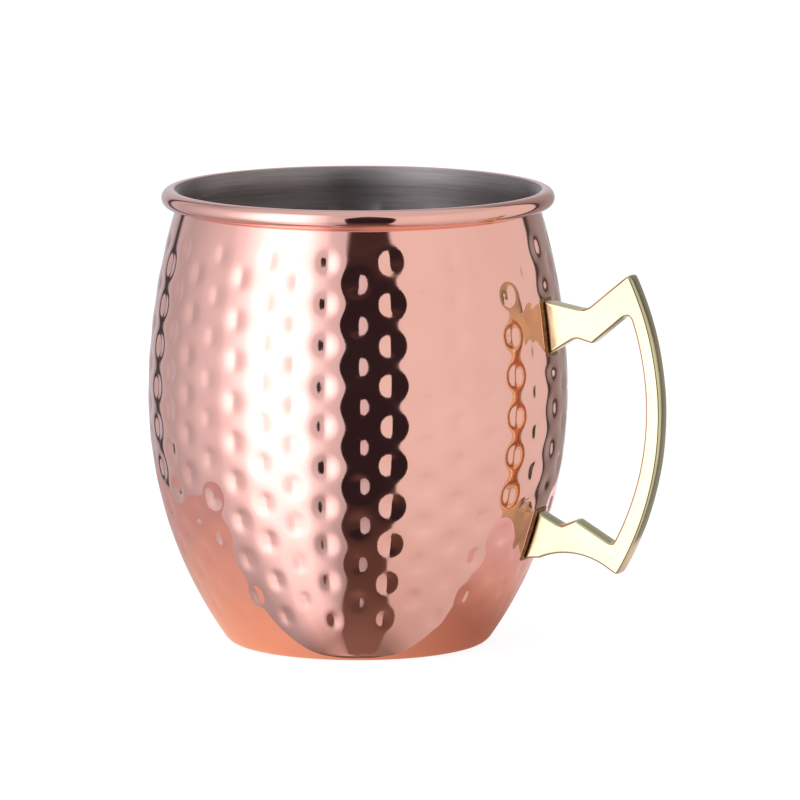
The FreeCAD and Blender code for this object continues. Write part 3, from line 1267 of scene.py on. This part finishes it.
@dataclass(frozen=True)
class Studio:
    """A white tent round the mug, open in a slot at the front, with a strong lamp behind its left side.

    Turns are degrees from the slot, positive to the right, and lifts are degrees above the level.
    Only first reflections see the slot in full, since a close tent would hide it from later ones.
    Tables of light go by share of the full turn or of the climb from straight down to straight up.
    """

    camera: Camera
    strength: float = 2.5
    gap_left: float = -7.6
    gap_right: float = 22.6
    gap_top: float = 42.0
    gap_top_soft: Pair = (8.0, -4.0)
    gap_round: float = 24.0
    edge: float = 0.6
    foot_from: Pair = (-45.0, -75.0)
    foot_widening: float = 38.0
    foot_right_share: float = 1.2
    foot_softening: float = 0.25
    floor_cut: Pair = (-84.0, -79.0)
    later_share: float = 0.15
    tone_left: Triple = (1.0, 1.07, 1.18)
    tone_right: Triple = (1.0, 1.03, 1.03)
    sides_meet: Pair = (0.0, 10.0)
    roof_from: Pair = (42.0, 62.0)
    roof_level: float = 0.78
    roof_tone: Triple = (0.88, 1.0, 1.06)
    round_levels: tuple[Pair, ...] = (
        (-180, 0.62), (-155, 0.55), (-147.5, 0.42), (-146, 0.06), (-141.5, 0.06), (-140, 0.60),
        (-125, 0.52), (-114, 0.60), (-98, 0.76), (-86, 0.85), (-76, 1.10), (-66, 1.60),
        (-56, 2.10), (-38, 2.20), (-29, 1.75), (-23, 1.30), (-16, 0.82), (-9, 0.74),
        (18, 0.88), (45, 0.88), (70, 0.83), (118, 0.80), (126.5, 0.76), (128, 0.06),
        (131.5, 0.06), (134, 0.26), (146, 0.36), (160, 0.38), (180, 0.60),
    )
    climb_left: Stops = (
        (0.00, (0.34, 0.28, 0.26)), (0.05, (0.30, 0.24, 0.22)), (0.10, (0.22, 0.17, 0.15)),
        (0.13, (0.34, 0.29, 0.27)), (0.16, (0.50, 0.47, 0.46)), (0.22, (0.57, 0.56, 0.55)),
        (0.26, (0.62, 0.61, 0.60)), (0.34, (0.82, 0.82, 0.82)), (0.42, WHITE), (0.64, WHITE),
        (0.75, (0.85, 0.85, 0.85)),
    )
    climb_right: Stops = (
        (0.00, (0.40, 0.33, 0.31)), (0.05, (0.36, 0.29, 0.27)), (0.09, (0.34, 0.27, 0.25)),
        (0.14, (0.72, 0.64, 0.62)), (0.20, (0.84, 0.78, 0.76)), (0.26, (0.88, 0.84, 0.82)),
        (0.34, (0.95, 0.94, 0.94)), (0.42, WHITE), (0.64, WHITE), (0.75, (0.85, 0.85, 0.85)),
    )
    slot_levels: tuple[tuple[float, float, Triple], ...] = (
        (0.00, 0.30, (1.0, 0.66, 0.56)), (0.10, 0.23, (1.0, 0.66, 0.56)),
        (0.18, 0.13, (1.0, 0.62, 0.50)), (0.25, 0.11, (1.0, 0.62, 0.52)),
        (0.34, 0.028, (1.0, 0.72, 0.90)), (0.59, 0.030, (1.0, 0.72, 0.90)),
        (0.625, 0.065, (1.0, 0.64, 0.64)), (0.67, 0.045, (1.0, 0.64, 0.64)),
    )

    def level(self, amount: float, tone: Triple) -> Triple:
        """A light level in a tone, as the colour that gives it at the world's strength."""
        return tuple(amount * part / self.strength for part in tone)

    def round_the_tent(self) -> Stops:
        """The tent's brightness round the mug, as ramp stops from straight behind to straight behind."""
        stops = []
        for angle, amount in self.round_levels:
            tone = self.tone_right if 0 < angle < 180 else self.tone_left
            stops.append(((angle + 180) / 360, self.level(amount, tone)))
        return tuple(stops)

    def opening(self, s: Sketch, turn: Socket, lift: Socket) -> Socket:
        """How open the tent is in a direction.

        Args:
            s: Sketch of the world.
            turn: The direction's turn, in degrees.
            lift: The direction's lift, in degrees.

        Returns:
            1 in the slot and 0 on the cloth, soft between them and wider towards the floor.
        """
        low = s.span(lift, *self.foot_from)
        widen = s.math("MULTIPLY", s.math("MULTIPLY", low, low), self.foot_widening)
        from_left = s.math("ADD", s.math("SUBTRACT", turn, self.gap_left), widen)
        right_widen = s.math("MULTIPLY", widen, self.foot_right_share)
        from_right = s.math("ADD", s.math("SUBTRACT", self.gap_right, turn), right_widen)
        soft = s.math("MULTIPLY_ADD", widen, self.foot_softening, self.edge)
        made = s.math("MULTIPLY", s.math("DIVIDE", from_left, soft, clamp=True),
                      s.math("DIVIDE", from_right, soft, clamp=True))
        middle = (self.gap_left + self.gap_right) / 2
        half = (self.gap_right - self.gap_left) / 2
        aside = s.math("DIVIDE", s.math("SUBTRACT", turn, middle), half)
        top = s.math("MULTIPLY_ADD", s.math("MULTIPLY", aside, aside), self.gap_round, lift)
        above, below = self.gap_top_soft
        made = s.math("MULTIPLY", made, s.span(top, self.gap_top + above, self.gap_top + below, smooth=True))
        depth = s.node("ShaderNodeLightPath").outputs["Glossy Depth"]
        first = s.math("LESS_THAN", depth, FIRST_REFLECTION)
        made = s.math("MULTIPLY", made, s.math("MULTIPLY_ADD", first, 1 - self.later_share, self.later_share))
        return s.math("MULTIPLY", made, s.span(lift, *self.floor_cut, smooth=True))

    def build(self) -> None:
        """Light the world as seen by the mug, and show the camera a plain white background."""
        world = bpy.data.worlds.new("studio_tent")
        bpy.context.scene.world = world
        world.use_nodes = True
        s = Sketch(world.node_tree)
        way = s.node("ShaderNodeTexCoord").outputs["Generated"]
        across = s.dot(way, tuple(self.camera.right))
        ahead = s.dot(way, tuple(self.camera.front))
        turn = s.math("DEGREES", s.math("ARCTAN2", across, ahead))
        lift = s.math("DEGREES", s.math("ARCSINE", s.dot(way, (0, 0, 1))))
        tent = s.ramp(s.span(turn, -180, 180), self.round_the_tent())
        climb = s.span(lift, -90, 90)
        left, right = s.ramp(climb, self.climb_left), s.ramp(climb, self.climb_right)
        tent = s.mix(1.0, tent, s.mix(s.span(turn, *self.sides_meet), left, right), "MULTIPLY")
        roof = s.span(lift, *self.roof_from, smooth=True)
        tent = s.mix(roof, tent, self.level(self.roof_level, self.roof_tone))
        slot = [(place, self.level(amount, tone)) for place, amount, tone in self.slot_levels]
        tent = s.mix(self.opening(s, turn, lift), tent, s.ramp(climb, slot))
        lit = s.fill(s.node("ShaderNodeBackground"), Color=tent, Strength=self.strength)
        plain = s.fill(s.node("ShaderNodeBackground"), Color=(*WHITE, 1))
        chosen = s.node("ShaderNodeMixShader")
        s.feed(chosen.inputs[0], s.node("ShaderNodeLightPath").outputs["Is Camera Ray"])
        s.feed(chosen.inputs[1], lit.outputs[0])
        s.feed(chosen.inputs[2], plain.outputs[0])
        s.end(chosen, "ShaderNodeOutputWorld")
        bpy.context.scene.view_settings.view_transform = "Standard"


@dataclass(frozen=True)
class Stand:
    """What the mug stands on: a plain pale floor, and a glowing board that only reflections show, with
    painted light and shade of the floor round the mug.
    """

    camera: Camera
    floor_half: float = 4000.0
    floor_glow: float = 0.88
    floor_greys: Pair = (0.25, 0.27)
    floor_speck: float = 30.0
    board_across: Pair = (-118.0, 93.0)
    board_along: Pair = (28.0, -700.0)
    board_drop: float = 0.25
    near_far: Pair = (0.025, 0.225)
    sides_meet: Pair = (-0.02, 0.03)
    outer_from: Pair = (0.034, 0.052)
    # Painted brightening of the board's outer right part.
    outer_painted_light: Triple = (1.35, 1.5, 1.6)
    # Painted light and shade of the floor round the mug: on the left a warm painted copper glow near the mug,
    # on the right a painted shadow near it, both easing further out.
    left_painted_light: Stops = (
        (0.0, (0.99, 0.63, 0.44)), (0.12, (0.77, 0.57, 0.48)), (0.35, (0.59, 0.46, 0.455)),
        (1.0, (0.49, 0.435, 0.48)),
    )
    right_painted_shade: Stops = (
        (0.0, (0.33, 0.15, 0.10)), (0.12, (0.49, 0.32, 0.26)), (0.25, (0.54, 0.41, 0.40)),
        (0.45, (0.72, 0.58, 0.60)), (1.0, (0.70, 0.60, 0.62)),
    )

    def slab(self, name: str, across: Pair, along: Pair, right: Vector, front: Vector,
             drop: float) -> Thing:
        """A level sheet, kept off the object.

        Args:
            name: Name of the sheet.
            across: Where it starts and ends along the first direction, in millimetres.
            along: Where it starts and ends along the second direction.
            right: The first direction.
            front: The second direction.
            drop: How far below the base plane it lies.

        Returns:
            The sheet.
        """
        down = Vector((0, 0, -drop))
        low, high = along
        places = ((across[0], low), (across[1], low), (across[1], high), (across[0], high))
        points = np.array([tuple(right * x + front * y + down) for x, y in places])
        made = mesh_object(name, points, [(0, 1, 2, 3)], SHARP_SHEET)
        return made

    def build(self) -> None:
        """Build the floor and the board."""
        reach = (-self.floor_half, self.floor_half)
        floor = self.slab("floor", reach, reach, Vector((1, 0, 0)), Vector((0, 1, 0)), 0.0)
        floor.visible_glossy = False
        floor.visible_diffuse = False
        floor.data.materials.append(self.floor_finish())
        right, front = self.camera.right, self.camera.front
        board = self.slab("board", self.board_across, self.board_along, right, front, self.board_drop)
        board.visible_camera = False
        board.visible_diffuse = False
        board.visible_shadow = False
        board.data.materials.append(self.painted_reflection_board())

    def floor_finish(self) -> Material:
        """A pale matt floor that takes a faint shadow."""
        made, s = new_material("floor_finish")
        dark, light = self.floor_greys
        greys = ((NOISE_LOW, (dark, dark, dark)), (NOISE_HIGH, (light, light, light)))
        speck = s.grain(s.place(), self.floor_speck)
        matt = s.fill(s.node("ShaderNodeBsdfDiffuse"), Color=s.ramp(speck, greys))
        glow = s.fill(s.node("ShaderNodeEmission"), Strength=self.floor_glow)
        both = s.node("ShaderNodeAddShader")
        s.feed(both.inputs[0], matt.outputs[0])
        s.feed(both.inputs[1], glow.outputs[0])
        s.end(both)
        return made

    def painted_reflection_board(self) -> Material:
        """The glowing board, a painted reflection of the floor: a warm painted copper glow near the mug on
        the left and a painted shadow near it on the right.
        """
        made, s = new_material("painted_reflection_board")
        length = s.node("ShaderNodeVectorMath", operation="LENGTH")
        s.feed(length.inputs[0], s.place())
        away = s.span(length.outputs["Value"], *self.near_far)
        # Painted glow on the left and painted shadow on the right, by distance from the mug.
        left, right = s.ramp(away, self.left_painted_light), s.ramp(away, self.right_painted_shade)
        beside = s.dot(s.place(), tuple(self.camera.right))
        colour = s.mix(s.span(beside, *self.sides_meet), left, right)
        # Painted brightening of the board further out on the right.
        outer = s.mix(s.span(beside, *self.outer_from), WHITE, self.outer_painted_light)
        s.end(s.fill(s.node("ShaderNodeEmission"), Color=s.mix(1.0, colour, outer, "MULTIPLY")))
        return made


def main() -> None:
    """Build the mug, dress it, and set the studio round it."""
    logging.basicConfig(level=logging.INFO, format="%(message)s")
    shape = BarrelShape()
    hammering = Hammering(shape)
    builders: tuple[Callable[[], Thing], ...] = (
        CopperShell(shape, hammering).build,
        SteelLining(shape, hammering).build,
        BrassHandle(shape).build,
    )
    for build in builders:
        piece = build()
        piece.data.calc_loop_triangles()
        LOG.info("built %s: %d triangles", piece.name, len(piece.data.loop_triangles))
    BrazeJoints().dress()
    camera = Camera()
    camera.build()
    Studio(camera).build()
    Stand(camera).build()


if __name__ == "__main__":
    main()
